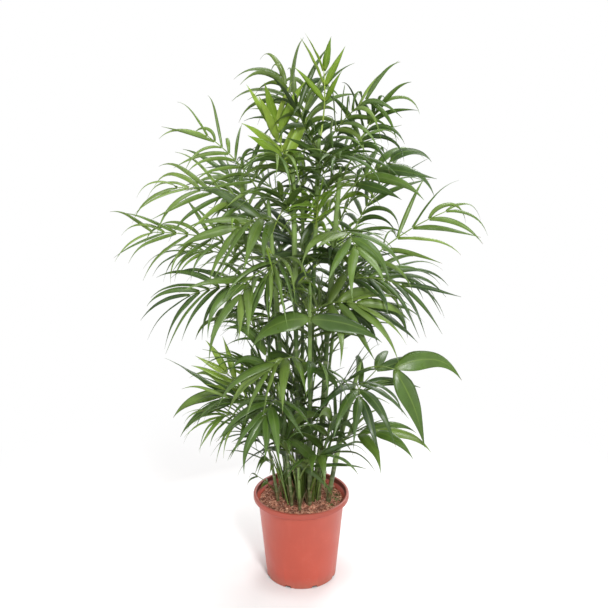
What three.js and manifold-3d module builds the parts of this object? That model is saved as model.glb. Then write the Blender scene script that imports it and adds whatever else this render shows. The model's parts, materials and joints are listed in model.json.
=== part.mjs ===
// A bamboo palm: a clump of slender canes with feathery fronds, rooted in potting mix in a
// plastic nursery pot. Millimetres, +Z up. The origin is on the ground at the middle of the
// pot's base, and the front of the plant faces -Y. Headings are degrees in plan from +X
// towards +Y, so 180 points left and -90 points to the front.
import * as THREE from "three";
import { mergeVertices } from "three/addons/utils/BufferGeometryUtils.js";
import Module from "manifold-3d";

// ---- Driving dimensions ----
const POT_HEIGHT = 200;
const RIM_RADIUS = 105; // over the lip
const LIP_WIDTH = 6.5; // the flat top of the lip
const LIP_HEIGHT = 11;
const WALL_TOP_RADIUS = 94; // outside of the wall, under the shoulder
const FOOT_RADIUS = 77; // outside of the wall, at the ground
const WALL = 1.6;
const SHOULDER_DROP = 7; // the sloping step under the lip
const CHANNEL_HEIGHT = 5; // the drained channel under the base
const CHANNEL_INNER = 38;
const CHANNEL_OUTER = 63;
const NOTCHES = 8; // drain notches through the foot
const NOTCH_WIDTH = 13;
const NOTCH_HEIGHT = 5;
const DRAIN_HOLE_RADIUS = 4.5;
const SOIL_BELOW_RIM = 20; // at the wall
const SOIL_CROWN = 5; // how far the middle stands above the edge
const PLANTED_DEPTH = 45; // how deep the canes go into the potting mix
const FIT = 0.3; // the gap between pieces that touch
const ROUND = 40; // sides of the pot
const CANE_SIDES = 8;
const CANE_STEPS = 6;
const CANE_HEIGHT = 1; // scales every cane's height above the potting mix
const CANE_RADIUS = 5.6; // a stout cane at the potting mix
const CANE_TAPER = 0.66; // radius at the head, as a share
const FROND_LENGTH = 1; // scales every frond's stalk
const LEAFLET_LENGTH = 1; // scales every leaflet
const STALK_RADIUS = 2; // half width of a stalk where it leaves the cane
const STALK_END_RADIUS = 0.9;
const BLADE_THICKNESS = 1.3; // the midrib's height over the blade's edges
const LEAFLET_CLEARANCE = 4.5; // between one leaflet and whatever it passes
const STALK_CLEARANCE = 2.5; // between stalks and canes that pass
const LEAFLET_ROOM = 5; // kept free beside a stalk for its own leaflets

// Leaf shapes: how many pairs of leaflets, the share of the stalk that is bare, a leaflet's
// length and width, its angle to the stalk at the bottom and top pair, how far it lifts out of
// the frond's plane, and how strongly it droops.
const KINDS = {
  fine: { pairs: 9, bare: 0.22, length: 124, width: 9.5, sweep: [62, 24], lift: 12, droop: 0.5 },
  middling: { pairs: 7, bare: 0.3, length: 150, width: 12.5, sweep: [56, 20], lift: 12, droop: 0.6 },
  broad: { pairs: 4, bare: 0.4, length: 160, width: 21, sweep: [52, 20], lift: 12, droop: 0.7 },
  forked: { pairs: 1, bare: 0.85, length: 176, width: 44, sweep: [92, 92], lift: 10, droop: 0.6 },
  hanging: { pairs: 1, bare: 0.9, length: 212, width: 46, sweep: [42, 42], lift: 2, droop: 1.1 },
  strap: { pairs: 2, bare: 0.55, length: 178, width: 23, sweep: [34, 12], lift: 6, droop: 0.35 },
  fresh: { pairs: 5, bare: 0.3, length: 124, width: 16, sweep: [40, 14], lift: 8, droop: 0.12 },
  spear: { pairs: 3, bare: 0.55, length: 102, width: 11, sweep: [34, 10], lift: 4, droop: 0.08 },
};
KINDS.fresh.young = true;
KINDS.spear.young = true;

// The clump. foot and head are places in plan, rise is the head's height over the potting mix,
// and stout scales the cane's thickness. A frond leaves the cane at a share of that rise, with
// a heading; the straight line from its foot to its end has a slope over the horizon and a
// span, over which the stalk arches by an angle. Last come its kind and how far it is turned
// about its own stalk.
const CANES = [
  { foot: [-6, -10], head: [-16, -6], rise: 740, stout: 1.1, fronds: [
    [0.99, 160, 74, 110, 12, "fresh", -30],
    [0.95, -105, 40, 150, 70, "middling", 0],
    [0.82, -150, 16, 130, 80, "broad", -20],
    [0.73, -114, 8, 130, 80, "middling", 0],
    [0.04, -112, 70, 225, 44, "broad", 0],
  ] },
  { foot: [15, 9], head: [36, 12], rise: 806, stout: 0.9, fronds: [
    [0.992, 60, 84, 140, 6, "spear", 0],
    [0.975, 168, 62, 160, 50, "middling", -40],
    [0.95, -14, 52, 155, 60, "middling", 40],
    [0.88, -72, 34, 150, 70, "middling", 0],
    [0.8, 90, 50, 205, 40, "fine", 0],
  ] },
  { foot: [-27, 3], head: [-66, -4], rise: 675, stout: 0.95, fronds: [
    [0.985, 172, 50, 190, 36, "fine", -45],
    [0.94, 183, 22, 200, 40, "middling", -40],
    [0.83, 180, 12, 250, 24, "fine", -50],
    [0.74, -118, 8, 140, 80, "broad", 0],
    [0.72, -164, 2, 180, 40, "middling", -30],
  ] },
  { foot: [36, -4], head: [78, -8], rise: 735, stout: 1.1, fronds: [
    [0.985, 5, 64, 165, 50, "middling", 40],
    [0.92, -6, 40, 130, 40, "broad", 40],
    [0.8, -75, 14, 150, 80, "broad", 0],
    [0.68, -20, 6, 150, 50, "middling", 30],
    [0.6, 0, 43, 320, 40, "middling", 45],
  ] },
  { foot: [2, 32], head: [4, 76], rise: 730, stout: 0.8, fronds: [
    [0.98, 84, 68, 170, 40, "middling", 0],
    [0.88, 25, 44, 200, 50, "fine", 0],
    [0.8, 145, 40, 200, 45, "fine", 0],
  ] },
  { foot: [-28, 30], head: [-74, 86], rise: 560, stout: 0.7, fronds: [
    [0.98, 132, 48, 190, 50, "middling", 0],
    [0.86, 196, 24, 200, 50, "fine", -20],
    [0.72, 95, 36, 200, 50, "middling", 0],
  ] },
  { foot: [35, 29], head: [90, 82], rise: 540, stout: 0.7, fronds: [
    [0.98, 44, 50, 190, 50, "middling", 0],
    [0.84, -8, 22, 140, 55, "middling", 20],
    [0.7, 84, 36, 200, 50, "middling", 0],
  ] },
  { foot: [18, -31], head: [18, -72], rise: 515, stout: 0.85, fronds: [
    [0.97, -90, -30, 66, 90, "forked", 0],
    [0.9, -12, 14, 100, 50, "broad", 30],
    [0.66, -136, 10, 120, 80, "broad", 0],
    [0.08, -58, 68, 215, 44, "broad", 0],
  ] },
  { foot: [-18, -33], head: [-46, -80], rise: 300, stout: 0.65, fronds: [
    [0.98, -176, 74, 90, 16, "strap", -20],
    [0.84, -105, 16, 110, 80, "broad", 0],
    [0.7, 186, 30, 130, 60, "fine", -20],
  ] },
  { foot: [-46, -10], head: [-92, -22], rise: 235, stout: 0.65, fronds: [
    [0.97, 174, 22, 80, 20, "strap", -35],
    [0.88, 160, 50, 120, 20, "spear", -40],
    [0.74, 200, 26, 110, 70, "fine", -20],
  ] },
  { foot: [54, -14], head: [122, -26], rise: 322, stout: 1, fronds: [
    [0.98, -14, 8, 78, 50, "hanging", 62],
    [0.84, -84, 16, 110, 80, "broad", 0],
    [0.66, 44, 40, 120, 50, "strap", 20],
    [0.46, -24, 26, 84, 30, "strap", 20],
  ] },
  { foot: [-3, -50], head: [-6, -74], rise: 120, stout: 0.6, fronds: [
    [0.96, -150, 56, 90, 40, "strap", 0],
    [0.7, -50, 50, 104, 60, "broad", 0],
  ] },
];

const MATERIALS = {
  plastic: new THREE.MeshStandardMaterial({ color: 0xc4583e, roughness: 0.45, metalness: 0 }),
  mix: new THREE.MeshStandardMaterial({ color: 0x5a3526, roughness: 0.95, metalness: 0 }),
  cane: new THREE.MeshStandardMaterial({ color: 0x4c6a2c, roughness: 0.5, metalness: 0 }),
  leaf: new THREE.MeshStandardMaterial({ color: 0x3f7a28, roughness: 0.45, metalness: 0 }),
  youngLeaf: new THREE.MeshStandardMaterial({ color: 0x7ea33a, roughness: 0.45, metalness: 0 }),
};

const wasm = await Module();
wasm.setup();

// ---- Helpers ----
const radians = THREE.MathUtils.degToRad;
const lerp = THREE.MathUtils.lerp;

function solidOf(geometry) {
  const bare = geometry.clone();
  bare.deleteAttribute("normal");
  bare.deleteAttribute("uv");
  const merged = mergeVertices(bare, 1e-3);
  return new wasm.Manifold(new wasm.Mesh({
    numProp: 3,
    vertProperties: new Float32Array(merged.attributes.position.array),
    triVerts: new Uint32Array(merged.index.array),
  }));
}

function geometryOf(solid) {
  const mesh = solid.getMesh();
  const geometry = new THREE.BufferGeometry();
  geometry.setAttribute("position", new THREE.BufferAttribute(mesh.vertProperties, 3));
  geometry.setIndex(new THREE.BufferAttribute(mesh.triVerts, 1));
  return geometry;
}

function direction(heading, rise) {
  return new THREE.Vector3(
    Math.cos(radians(heading)) * Math.cos(radians(rise)),
    Math.sin(radians(heading)) * Math.cos(radians(rise)),
    Math.sin(radians(rise)),
  );
}

// A curve that leaves start along first and arrives along last.
function arc(start, first, last, length) {
  const middle = start.clone().addScaledVector(first, length / 2);
  const end = middle.clone().addScaledVector(last, length / 2);
  return new THREE.QuadraticBezierCurve3(start, middle, end);
}

// A number from 0 to 1 that looks random and is the same for the same seed.
function chance(seed) {
  const x = Math.sin(seed * 12.9898 + 4.137) * 43758.5453;
  return x - Math.floor(x);
}

// A closed body made ring by ring.
class Body {
  constructor() {
    this.points = [];
    this.faces = [];
  }

  add(...points) {
    const first = this.points.length;
    this.points.push(...points);
    return points.map((_, i) => first + i);
  }

  // Joins two rings of the same number of points, anticlockwise as seen from the second.
  join(a, b) {
    a.forEach((_, i) => {
      const j = (i + 1) % a.length;
      this.faces.push([a[j], b[j], b[i]], [a[j], b[i], a[i]]);
    });
  }

  // A four-sided face, anticlockwise from outside, folded so that it bulges outwards.
  quad(a, b, c, d) {
    const [pa, pb, pc, pd] = [a, b, c, d].map((i) => this.points[i]);
    const plane = new THREE.Plane().setFromCoplanarPoints(pa, pb, pc);
    if (plane.distanceToPoint(pd) <= 0) this.faces.push([a, b, c], [a, c, d]);
    else this.faces.push([a, b, d], [b, c, d]);
  }

  cap(ring) {
    for (let i = 2; i < ring.length; i += 1) this.faces.push([ring[0], ring[i - 1], ring[i]]);
  }

  geometry() {
    const geometry = new THREE.BufferGeometry().setFromPoints(this.points);
    geometry.setIndex(this.faces.flat());
    return geometry;
  }
}

const palm = new THREE.Group();
palm.name = "potted_palm";

// Adds a piece whose geometry is in the palm's frame, with its own origin moved to a place.
function addPart(parent, name, geometry, material, place) {
  geometry.translate(-place.x, -place.y, -place.z);
  const mesh = new THREE.Mesh(geometry, material);
  mesh.name = name;
  mesh.position.copy(place).sub(parent.position);
  parent.add(mesh);
}

// ---- Pot ----
const lipBottom = POT_HEIGHT - LIP_HEIGHT;
const shoulderFoot = lipBottom - SHOULDER_DROP;
const mouthRadius = RIM_RADIUS - LIP_WIDTH;
const wallSlope = (WALL_TOP_RADIUS - FOOT_RADIUS) / shoulderFoot;
const floorTop = CHANNEL_HEIGHT + WALL;

function wallRadius(z) {
  return FOOT_RADIUS + wallSlope * z;
}

function makePot() {
  const footInner = CHANNEL_OUTER + WALL;
  const profile = [
    [0, 0],
    [CHANNEL_INNER, 0],
    [CHANNEL_INNER + 2, CHANNEL_HEIGHT],
    [CHANNEL_OUTER, CHANNEL_HEIGHT],
    [footInner, 0],
    [FOOT_RADIUS - 1.2, 0],
    [wallRadius(1.4), 1.4],
    [WALL_TOP_RADIUS, shoulderFoot],
    [mouthRadius + WALL, lipBottom],
    [RIM_RADIUS - 0.4, lipBottom],
    [RIM_RADIUS, lipBottom + 1.5],
    [RIM_RADIUS - 0.5, POT_HEIGHT - 1.2],
    [RIM_RADIUS - 2, POT_HEIGHT],
    [mouthRadius + 0.8, POT_HEIGHT],
    [mouthRadius, POT_HEIGHT - 1],
    [mouthRadius, lipBottom + 1],
    [WALL_TOP_RADIUS - WALL, shoulderFoot + 1],
    [wallRadius(floorTop) - WALL, floorTop],
    [wallRadius(WALL) - WALL - 0.5, WALL],
    [footInner + WALL, WALL],
    [CHANNEL_OUTER + 1, floorTop],
    [CHANNEL_INNER + 1, floorTop],
    [CHANNEL_INNER - 1, WALL],
    [0, WALL],
  ].map(([r, z]) => new THREE.Vector2(r, z));
  const shell = new THREE.LatheGeometry(profile, ROUND).rotateX(Math.PI / 2);
  let pot = solidOf(shell);
  for (let i = 0; i < NOTCHES; i += 1) {
    const turn = ((i + 0.5) / NOTCHES) * 2 * Math.PI;
    const notch = new THREE.BoxGeometry(16, NOTCH_WIDTH, 2 * NOTCH_HEIGHT);
    notch.translate(FOOT_RADIUS + 1, 0, 0).rotateZ(turn);
    pot = pot.subtract(solidOf(notch));
    const hole = new THREE.CylinderGeometry(DRAIN_HOLE_RADIUS, DRAIN_HOLE_RADIUS, 4 * floorTop, 8);
    hole.rotateX(Math.PI / 2).translate((CHANNEL_INNER + CHANNEL_OUTER) / 2, 0, 0).rotateZ(turn);
    pot = pot.subtract(solidOf(hole));
  }
  return geometryOf(pot);
}

// ---- Canes ----
const soilEdge = POT_HEIGHT - SOIL_BELOW_RIM;
const soilTop = soilEdge + SOIL_CROWN;

// The cane's own line, from its planted end to its head, bowing outwards as it rises.
function caneLine(cane) {
  const foot = new THREE.Vector3(cane.foot[0], cane.foot[1], soilTop - PLANTED_DEPTH);
  const head = new THREE.Vector3(cane.head[0], cane.head[1], soilTop + cane.rise * CANE_HEIGHT);
  const height = head.z - foot.z;
  const bow = new THREE.Vector3(
    lerp(foot.x, head.x, 0.3),
    lerp(foot.y, head.y, 0.3),
    foot.z + height * 0.5,
  );
  return new THREE.QuadraticBezierCurve3(foot, bow, head);
}

function caneRadius(cane, share) {
  return CANE_RADIUS * cane.stout * lerp(1, CANE_TAPER, share);
}

// The corner of a cane's ring, counted round from +X.
function caneCorner(centre, radius, i) {
  const turn = (i / CANE_SIDES) * 2 * Math.PI;
  return new THREE.Vector3(
    centre.x + radius * Math.cos(turn),
    centre.y + radius * Math.sin(turn),
    centre.z,
  );
}

function makeCane(cane, extra = 0) {
  const body = new Body();
  const line = caneLine(cane);
  let below = null;
  for (let step = 0; step <= CANE_STEPS; step += 1) {
    const share = step / CANE_STEPS;
    const centre = line.getPoint(share);
    if (step === 0) centre.z -= extra;
    const corners = [];
    for (let i = 0; i < CANE_SIDES; i += 1) {
      corners.push(caneCorner(centre, caneRadius(cane, share) + extra, i));
    }
    const ring = body.add(...corners);
    if (below) body.join(below, ring);
    else body.cap([...ring].reverse());
    below = ring;
  }
  body.cap(below);
  return body.geometry();
}

// Where the flat-sided cane's centre line is at a share of its height.
function caneCentre(cane, share) {
  const line = caneLine(cane);
  const step = Math.min(Math.floor(share * CANE_STEPS), CANE_STEPS - 1);
  const from = line.getPoint(step / CANE_STEPS);
  return from.lerp(line.getPoint((step + 1) / CANE_STEPS), share * CANE_STEPS - step);
}

// The cane's own direction at a share of its height.
function caneAxis(cane, share) {
  const step = Math.min(Math.floor(share * CANE_STEPS), CANE_STEPS - 1);
  const line = caneLine(cane);
  return line.getPoint((step + 1) / CANE_STEPS).sub(line.getPoint(step / CANE_STEPS)).normalize();
}

// The way straight out of a leaning cane, as near to a heading as can be.
function caneOutward(cane, share, heading) {
  const axis = caneAxis(cane, share);
  const way = direction(heading, 0);
  return way.addScaledVector(axis, -way.dot(axis)).normalize();
}

// How far a cane's flat-sided surface reaches in a direction.
function caneReach(radius, way) {
  const corner = (2 * Math.PI) / CANE_SIDES;
  const turn = Math.atan2(way.y, way.x) / corner;
  return radius * Math.cos((turn - Math.round(turn)) * corner);
}

// ---- Potting mix ----
function makeSoil() {
  const inner = WALL + FIT;
  const profile = [
    [0, floorTop + FIT],
    [wallRadius(floorTop) - inner, floorTop + FIT],
    [wallRadius(soilEdge) - inner, soilEdge],
    [wallRadius(soilEdge) * 0.72, soilEdge + SOIL_CROWN * 0.55],
    [wallRadius(soilEdge) * 0.36, soilTop],
    [0, soilTop],
  ].map(([r, z]) => new THREE.Vector2(r, z));
  let soil = solidOf(new THREE.LatheGeometry(profile, ROUND).rotateX(Math.PI / 2));
  for (const cane of CANES) soil = soil.subtract(solidOf(makeCane(cane, FIT)));
  return geometryOf(soil);
}

// ---- Keeping pieces apart ----
// Everything placed so far: rods (a line with a radius) and blades (thin triangles).
const placed = [];

// A rod's room is kept free of every piece but its owner.
function addRod(owner, from, to, radius, room = 0) {
  const line = new THREE.Line3(from, to);
  const box = new THREE.Box3().setFromPoints([from, to]);
  placed.push({ owner, box, radius, room, near: (p, out) => line.closestPointToPoint(p, true, out) });
}

function addBlade(owner, triangles) {
  for (const [a, b, c] of triangles) {
    const triangle = new THREE.Triangle(a, b, c);
    const box = new THREE.Box3().setFromPoints([a, b, c]);
    const near = (p, out) => triangle.closestPointToPoint(p, out);
    placed.push({ owner, box, radius: 0, room: 0, near });
  }
}

// Whether sample points keep a clearance from all that is placed. A sample says how far it lies
// from its own root, because the clearance to pieces of the same owner opens up from there.
function isClear(samples, clearance, owner) {
  const box = new THREE.Box3().setFromPoints(samples.map((sample) => sample.point));
  const close = new THREE.Vector3();
  for (const other of placed) {
    const own = other.owner === owner;
    const reach = clearance + other.radius + (own ? 0 : other.room);
    if (!other.box.clone().expandByScalar(reach).intersectsBox(box)) continue;
    for (const sample of samples) {
      if (other.box.distanceToPoint(sample.point) > reach) continue;
      other.near(sample.point, close);
      const spread = Math.min(clearance, OWN_SPREAD * sample.distance);
      const least = own ? spread + other.radius - OWN_SLACK : reach;
      if (close.distanceTo(sample.point) < least) return false;
    }
  }
  return true;
}

function lineSamples(line, count) {
  const samples = [];
  const length = line.getLength();
  for (let i = 0; i <= count; i += 1) {
    samples.push({ point: line.getPointAt(i / count), distance: (i / count) * length });
  }
  return samples;
}

// ---- Fronds ----
const WAYS_ROUND = [0, 7, -7, 14, -14, 22, -22, 32, -32]; // tried headings for a stalk
const STEEPEST = 66; // a stalk leaves its cane at no more than this, and then turns upright
const OWN_SPREAD = 0.26; // how fast a piece's clearance to what it grows from opens up
const OWN_SLACK = 1; // and how much closer than its surface it may start
const LEAST_SWEEP = 15; // a leaflet never folds closer to its stalk than this

// The stalk's line, turned a little if something stands in its way.
function layStalk(cane, caneName, frond) {
  const [above, heading, slope, span, arch] = frond;
  const planted = PLANTED_DEPTH / (PLANTED_DEPTH + cane.rise * CANE_HEIGHT);
  const at = lerp(planted, 1, above);
  const centre = caneCentre(cane, at);
  const radius = caneRadius(cane, at);
  for (const lift of [0, 8, -8, 16]) {
    for (const turn of WAYS_ROUND) {
      const way = heading + turn;
      const outward = caneOutward(cane, at, way);
      const start = centre.clone().addScaledVector(outward, caneReach(radius, outward) + FIT);
      const begin = Math.min(slope + lift + arch / 2, STEEPEST);
      const end = 2 * (slope + lift) - begin;
      const length = (span * FROND_LENGTH) / Math.cos(radians((begin - end) / 2));
      const line = arc(start, direction(way, begin), direction(way, end), length);
      const clearance = STALK_RADIUS + STALK_CLEARANCE;
      if (isClear(lineSamples(line, 40), clearance, caneName)) {
        return { line, heading: way, outward, axis: caneAxis(cane, at) };
      }
    }
  }
  throw new Error(caneName + " has a frond with no clear way: turn it or move it");
}

// Three directions at a place on the stalk: along it, to its right, and up out of its face.
function stalkFrame(line, share, heading, roll) {
  const along = line.getTangentAt(share);
  const right = direction(heading - 90, 0);
  const face = new THREE.Vector3().crossVectors(right, along).normalize();
  right.applyAxisAngle(along, radians(roll));
  face.applyAxisAngle(along, radians(roll));
  return { along, right, face };
}

// A leaflet: its line and the cross-sections where its shape is set, with the tip last.
const SECTIONS = [{ at: 0.34, width: 1 }, { at: 0.7, width: 0.68 }];

function leafletShape(root, frame, side, sweep, lift, droop, roll, length, width) {
  const out = frame.right.clone().multiplyScalar(side);
  const first = frame.along.clone().multiplyScalar(Math.cos(radians(sweep)))
    .addScaledVector(out, Math.sin(radians(sweep)))
    .addScaledVector(frame.face, Math.sin(radians(lift)))
    .normalize();
  const last = first.clone().add(new THREE.Vector3(0, 0, -2 * droop)).normalize();
  const line = arc(root, first, last, length);
  const face = frame.face.clone().addScaledVector(first, -frame.face.dot(first)).normalize();
  face.applyAxisAngle(first, radians(roll * side));
  const turn = new THREE.Quaternion();
  const sections = SECTIONS.map((section) => {
    const along = line.getTangentAt(section.at);
    turn.setFromUnitVectors(first, along);
    const up = face.clone().applyQuaternion(turn);
    const across = new THREE.Vector3().crossVectors(up, along);
    const centre = line.getPointAt(section.at);
    const half = (width * section.width) / 2;
    return {
      left: centre.clone().addScaledVector(across, -half),
      right: centre.clone().addScaledVector(across, half),
      ridge: centre.clone().addScaledVector(up, BLADE_THICKNESS * section.width),
    };
  });
  return { root, sections, tip: line.getPointAt(1) };
}

function bladeTriangles({ root, sections: [low, high], tip }) {
  return [
    [root, low.left, low.right],
    [low.left, low.right, high.right],
    [low.left, high.right, high.left],
    [high.left, high.right, tip],
  ];
}

const SAMPLE_SPACING = 5;

function bladeSamples(shape) {
  const samples = [];
  for (const [a, b, c] of bladeTriangles(shape)) {
    const longest = Math.max(a.distanceTo(b), b.distanceTo(c), c.distanceTo(a));
    const steps = Math.ceil(longest / SAMPLE_SPACING);
    for (let i = 0; i <= steps; i += 1) {
      const rowSteps = Math.max(1, Math.ceil((b.distanceTo(c) * i) / steps / SAMPLE_SPACING));
      const rowStart = a.clone().lerp(b, i / steps);
      const rowEnd = a.clone().lerp(c, i / steps);
      for (let j = 0; j <= rowSteps; j += 1) {
        const point = rowStart.clone().lerp(rowEnd, j / rowSteps);
        samples.push({ point, distance: point.distanceTo(shape.root) });
      }
    }
  }
  return samples;
}

// Tried changes to a leaflet's sweep and lift, the smallest first, and then to its length.
const LEAFLET_WAYS = [0, 9, -9, 18, -18, 30]
  .flatMap((sweep) => [0, 14, -14, 28, -28, 45, -45, 65].map((lift) => [sweep, lift]))
  .sort((a, b) => Math.hypot(...a) - Math.hypot(...b));
const LEAFLET_LENGTHS = [1, 0.85, 0.7, 0.52, 0.36, 0.24, 0.16, 0.1, 0.06];

function layLeaflet(name, root, frame, side, plan) {
  for (const shorter of LEAFLET_LENGTHS) {
    const clearance = LEAFLET_CLEARANCE * (shorter > 0.3 ? 1 : Math.min(0.5, 3 * shorter));
    for (const [sweep, lift] of LEAFLET_WAYS) {
      const shape = leafletShape(
        root, frame, side, Math.max(LEAST_SWEEP, plan.sweep + sweep), plan.lift + lift,
        plan.droop, plan.roll,
        plan.length * shorter, plan.width * Math.sqrt(shorter),
      );
      if (isClear(bladeSamples(shape), clearance, name)) {
        addBlade(name, bladeTriangles(shape));
        return shape;
      }
    }
  }
  throw new Error(name + " has a leaflet with no room at all: move its frond");
}

// Builds a leaflet out of the four corners of its root on the stalk's side.
function growLeaflet(body, root, shape) {
  const [a, b, c, d] = root;
  const [low, high] = shape.sections.map((s) => body.add(s.left, s.right, s.ridge));
  const [left, right, ridge] = low;
  body.quad(a, b, right, left);
  body.quad(b, c, ridge, right);
  body.faces.push([c, d, ridge]);
  body.quad(d, a, left, ridge);
  low.forEach((_, i) => {
    const j = (i + 1) % 3;
    body.quad(low[i], low[j], high[j], high[i]);
  });
  const [tip] = body.add(shape.tip);
  high.forEach((_, i) => body.faces.push([high[i], high[(i + 1) % 3], tip]));
}

const PETIOLE_STEPS = 3;

function makeFrond(name, frond, stalk, seed) {
  const [, , , , , kindName, roll] = frond;
  const kind = KINDS[kindName];
  const { line, heading, outward, axis } = stalk;
  const total = line.getLength();
  const rootHalf = Math.min(4.5, kind.width * 0.16 + 1.6);
  const body = new Body();

  const ringAt = (share) => {
    const { along, right, face } = stalkFrame(line, share, heading, roll * Math.min(1, share / 0.2));
    const half = lerp(STALK_RADIUS, STALK_END_RADIUS, share);
    const centre = line.getPointAt(share);
    let tall = half * 0.8;
    if (share === 0) {
      // The first ring lies flat against the cane.
      face.copy(axis);
      right.crossVectors(outward, axis);
      tall = half / Math.max(0.5, along.dot(outward));
    }
    return body.add(
      centre.clone().addScaledVector(right, half).addScaledVector(face, tall),
      centre.clone().addScaledVector(right, half).addScaledVector(face, -tall),
      centre.clone().addScaledVector(right, -half).addScaledVector(face, -tall),
      centre.clone().addScaledVector(right, -half).addScaledVector(face, tall),
    );
  };

  let ring = ringAt(0);
  body.cap([...ring].reverse());
  for (let step = 1; step <= PETIOLE_STEPS; step += 1) {
    const next = ringAt((step / (PETIOLE_STEPS + 1)) * kind.bare);
    body.join(ring, next);
    ring = next;
  }
  for (let pair = 0; pair < kind.pairs; pair += 1) {
    const up = kind.pairs > 1 ? pair / (kind.pairs - 1) : 1;
    const share = lerp(kind.bare, 1 - rootHalf / total, up);
    const near = ringAt(share - rootHalf / total);
    const far = ringAt(share + rootHalf / total);
    body.join(ring, near);
    ring = far;
    // The stalk's top and bottom go on, and its two sides open into leaflets.
    body.faces.push([near[2], far[2], far[1]], [near[2], far[1], near[1]]);
    body.faces.push([near[0], far[0], far[3]], [near[0], far[3], near[3]]);
    const frame = stalkFrame(line, share, heading, roll);
    for (const side of [1, -1]) {
      const root = side > 0 ? [near[1], far[1], far[0], near[0]] : [far[2], near[2], near[3], far[3]];
      const middle = new THREE.Vector3();
      root.forEach((i) => middle.addScaledVector(body.points[i], 0.25));
      const vary = seed * 31 + pair * 2 + (side + 1) / 2;
      const swell = 0.72 + 0.28 * Math.sin(Math.PI * (0.15 + 0.75 * up));
      const plan = {
        sweep: lerp(kind.sweep[0], kind.sweep[1], up) + 14 * (chance(vary) - 0.5),
        lift: kind.lift + 26 * (chance(vary + 0.31) - 0.5),
        droop: kind.droop * (0.15 + 1.5 * chance(vary + 0.57)),
        roll: 80 * (chance(vary + 0.83) - 0.5),
        length: kind.length * LEAFLET_LENGTH * swell * (0.92 + 0.16 * chance(vary + 0.19)),
        width: kind.width * (0.8 + 0.2 * swell) * (0.9 + 0.2 * chance(vary + 0.41)),
      };
      growLeaflet(body, root, layLeaflet(name, middle, frame, side, plan));
    }
  }
  body.cap(ring);
  return body.geometry();
}

// ---- Assembly ----
const caneName = (i) => "cane_" + String(i + 1).padStart(2, "0");
const frondName = (i, j) => caneName(i).replace("cane", "frond") + "_" + (j + 1);

const ground = new THREE.Vector3();
addPart(palm, "pot", makePot(), MATERIALS.plastic, ground);
addPart(palm, "potting_mix", makeSoil(), MATERIALS.mix, ground);

// Each cane and its fronds are a group that stands where the cane comes out of the mix.
const shoots = CANES.map((cane, i) => {
  const shoot = new THREE.Group();
  shoot.position.set(cane.foot[0], cane.foot[1], soilTop);
  palm.add(shoot);
  addPart(shoot, caneName(i), makeCane(cane), MATERIALS.cane, shoot.position);
  for (let step = 0; step < CANE_STEPS; step += 1) {
    const [from, to] = [step, step + 1].map((at) => caneLine(cane).getPoint(at / CANE_STEPS));
    addRod(caneName(i), from, to, caneRadius(cane, step / CANE_STEPS));
  }
  return shoot;
});

// Every stalk is laid before any leaflet, so that leaflets give way to stalks.
const stalks = CANES.map((cane, i) => cane.fronds.map((frond, j) => {
  const stalk = layStalk(cane, caneName(i), frond);
  const marks = stalk.line.getSpacedPoints(8);
  const leafy = 8 * KINDS[frond[5]].bare - 1;
  marks.slice(1).forEach((mark, k) => {
    const radius = lerp(STALK_RADIUS, STALK_END_RADIUS, k / 8);
    addRod(frondName(i, j), marks[k], mark, radius, k > leafy ? LEAFLET_ROOM : 0);
  });
  return stalk;
}));

// The widest leaflets are laid first, so that they have first choice of room.
const orders = CANES.flatMap((cane, i) => cane.fronds.map((frond, j) => ({ i, j, frond })));
orders.sort((a, b) => KINDS[b.frond[5]].width - KINDS[a.frond[5]].width || a.j - b.j || a.i - b.i);
for (const { i, j, frond } of orders) {
  const name = frondName(i, j);
  const stalk = stalks[i][j];
  const material = KINDS[frond[5]].young ? MATERIALS.youngLeaf : MATERIALS.leaf;
  addPart(shoots[i], name, makeFrond(name, frond, stalk, i * 10 + j), material, stalk.line.v0);
}

export default palm;
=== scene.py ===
"""A bamboo palm in a nursery pot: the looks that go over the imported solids.

Metres, +Z up, with the front of the plant facing -Y, in the same frame as the solids.
"""

import json
import math
import random

import bmesh
import bpy
from mathutils import Matrix, Vector, noise
from mathutils.bvhtree import BVHTree


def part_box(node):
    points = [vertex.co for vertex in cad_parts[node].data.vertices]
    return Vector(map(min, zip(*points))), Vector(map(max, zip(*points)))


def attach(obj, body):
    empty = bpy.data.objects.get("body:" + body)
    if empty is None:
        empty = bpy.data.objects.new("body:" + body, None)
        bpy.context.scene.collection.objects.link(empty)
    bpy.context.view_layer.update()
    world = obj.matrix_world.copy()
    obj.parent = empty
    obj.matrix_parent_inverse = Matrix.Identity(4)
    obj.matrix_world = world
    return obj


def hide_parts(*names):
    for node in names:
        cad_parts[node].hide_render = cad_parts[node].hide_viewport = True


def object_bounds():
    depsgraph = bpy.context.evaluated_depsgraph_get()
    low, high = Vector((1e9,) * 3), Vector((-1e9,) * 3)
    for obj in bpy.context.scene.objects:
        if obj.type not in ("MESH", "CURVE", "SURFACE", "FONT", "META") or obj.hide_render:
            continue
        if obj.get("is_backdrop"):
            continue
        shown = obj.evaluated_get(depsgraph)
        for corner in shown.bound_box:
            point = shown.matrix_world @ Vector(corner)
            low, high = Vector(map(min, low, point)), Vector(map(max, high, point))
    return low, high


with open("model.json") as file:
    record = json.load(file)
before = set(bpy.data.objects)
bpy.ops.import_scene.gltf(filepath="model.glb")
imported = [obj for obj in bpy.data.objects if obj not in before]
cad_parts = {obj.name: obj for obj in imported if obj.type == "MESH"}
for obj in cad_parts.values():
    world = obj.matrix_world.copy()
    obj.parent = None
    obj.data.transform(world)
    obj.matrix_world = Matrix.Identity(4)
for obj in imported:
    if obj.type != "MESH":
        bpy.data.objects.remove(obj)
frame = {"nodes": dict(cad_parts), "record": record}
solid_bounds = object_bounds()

MM = 0.001
UP = Vector((0, 0, 1))
SLOTS = {part["node"]: part["material_slot"] for part in frame["record"]["subparts"]}
CANES = sorted(node for node in frame["nodes"] if node.startswith("cane_"))
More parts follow.
